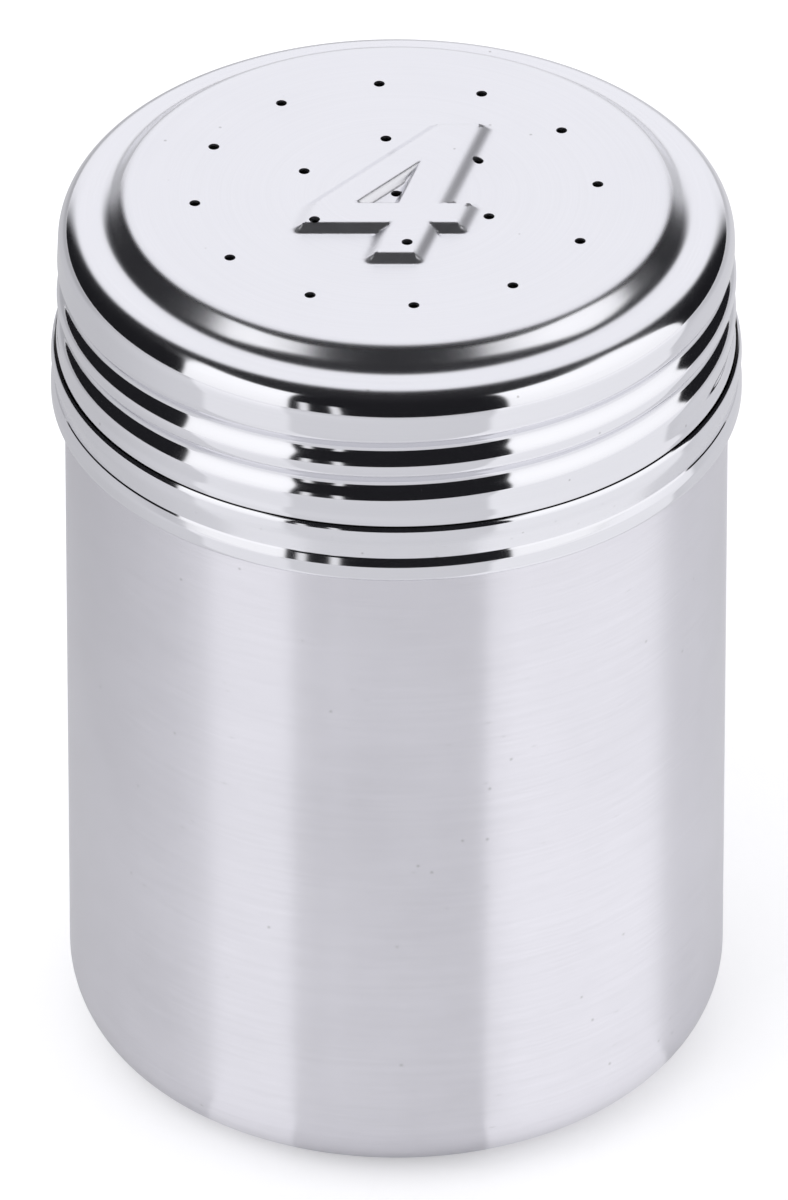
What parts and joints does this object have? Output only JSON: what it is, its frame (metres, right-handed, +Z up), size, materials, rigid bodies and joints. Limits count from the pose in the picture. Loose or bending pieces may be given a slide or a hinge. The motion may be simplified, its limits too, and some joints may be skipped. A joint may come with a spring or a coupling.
{
  "type": "spice shaker",
  "caption": "Round spice shaker of sheet steel: a smooth cup with rounded bottom edge and a perforated lid that screws onto its neck, with a raised numeral on top.",
  "frame": {"origin": "middle of the base, on the surface that the shaker stands on", "axes": "+Z up along the shaker's axis, -Y towards the front, from which the raised numeral reads upright, +X to the right of that view"},
  "size_m": [0.0688, 0.0688, 0.0987],
  "materials": {
    "satin_steel": "stainless sheet steel, fine satin brushed round the cup",
    "seal_plastic": "plain matt off-white, hidden under the lid",
    "polished_steel": "stainless sheet steel, mirror polished, slightly dull on the folded rim"
  },
  "bodies": {
    "cup": {"shaker_cup": "satin_steel"},
    "seal": {"sealing_ring": "seal_plastic"},
    "lid": {"screw_lid": "polished_steel"}
  },
  "joints": [
    {"name": "lid_rise", "type": "slide", "parent": "cup", "child": "seal", "axis": [0, 0, 1], "range_m": [0, 0.024]},
    {"name": "lid_turn", "type": "hinge", "parent": "seal", "child": "lid", "pos_m": [0, 0, 0.09], "axis": [0, 0, 1], "range_deg": [0, 2160]}
  ],
  "couplings": [
    {"joint": "lid_rise", "follows": "lid_turn", "m_per_rad": 0.00063662}
  ]
}
